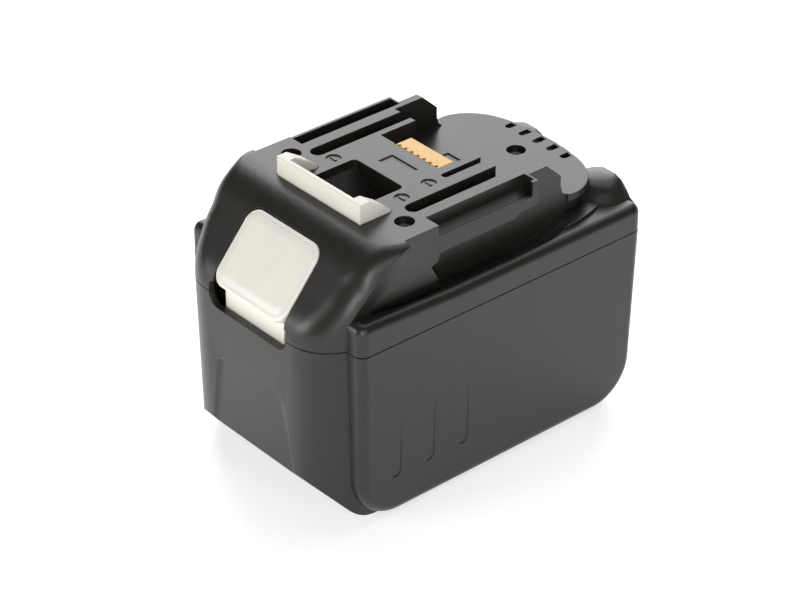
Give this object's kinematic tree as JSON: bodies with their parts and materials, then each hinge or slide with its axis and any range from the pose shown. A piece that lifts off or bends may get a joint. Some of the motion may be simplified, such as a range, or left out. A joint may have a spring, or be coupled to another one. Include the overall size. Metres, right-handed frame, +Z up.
{
  "type": "lithium-ion battery pack",
  "caption": "Slide-on battery pack for a cordless tool: two-part black housing with side rails and slots, sprung thumb latch with a hook, orange signal connector, cells and board inside.",
  "frame": {"origin": "centre of the base, midway between the sides and between the front and rear faces", "axes": "+Z up, -Y the button end, +Y the vented rear end, +X the right-hand side as the button faces the reader"},
  "size_m": [0.075, 0.1147, 0.09],
  "materials": {
    "housing_plastic": "black glass-filled nylon, satin, lightly grained",
    "latch_plastic": "warm white acetal, satin",
    "connector_plastic": "orange moulded plastic, satin",
    "screw_steel": "steel with a black finish",
    "terminal_brass": "sprung brass strip",
    "spring_steel": "drawn spring wire",
    "nickel": "nickel-plated strip",
    "cell_jacket": "shrunk film over a steel can",
    "holder_plastic": "dark moulded plastic",
    "insulation": "pressed fibre sheet",
    "board_laminate": "coated glass-fibre laminate",
    "component_black": "moulded component body",
    "thermistor_bead": "epoxy-dipped bead"
  },
  "bodies": {
    "pack": {"board_tray": "holder_plastic", "cell_01": "cell_jacket", "cell_02": "cell_jacket", "cell_03": "cell_jacket", "cell_04": "cell_jacket", "cell_05": "cell_jacket", "cell_06": "cell_jacket", "cell_07": "cell_jacket", "cell_08": "cell_jacket", "cell_09": "cell_jacket", "cell_10": "cell_jacket", "cell_11": "cell_jacket", "cell_12": "cell_jacket", "cell_13": "cell_jacket", "cell_14": "cell_jacket", "cell_15": "cell_jacket", "cell_holder_left": "holder_plastic", "cell_holder_right": "holder_plastic", "circuit_board": "board_laminate", "control_chip": "component_black", "cover_screws": "screw_steel", "end_sheet_left": "insulation", "end_sheet_right": "insulation", "latch_spring_left": "spring_steel", "latch_spring_right": "spring_steel", "lower_housing": "housing_plastic", "negative_lead": "nickel", "negative_terminal": "terminal_brass", "nickel_strip_left_1": "nickel", "nickel_strip_left_2": "nickel", "nickel_strip_left_3": "nickel", "nickel_strip_right_1": "nickel", "nickel_strip_right_2": "nickel", "nickel_strip_right_3": "nickel", "positive_lead": "nickel", "positive_terminal": "terminal_brass", "power_switches": "component_black", "shunt_resistor": "nickel", "signal_connector": "connector_plastic", "signal_contacts": "terminal_brass", "thermistor": "thermistor_bead", "top_sheet": "insulation", "upper_housing": "housing_plastic"},
    "latch": {"release_latch": "latch_plastic"}
  },
  "joints": [
    {"name": "latch_slide", "type": "slide", "parent": "pack", "child": "latch", "axis": [0, 0, -1], "range_m": [0, 0.0062], "stiffness_N_per_m": 800, "springref_m": -0.004, "deforming": ["latch_spring_left", "latch_spring_right"]}
  ]
}
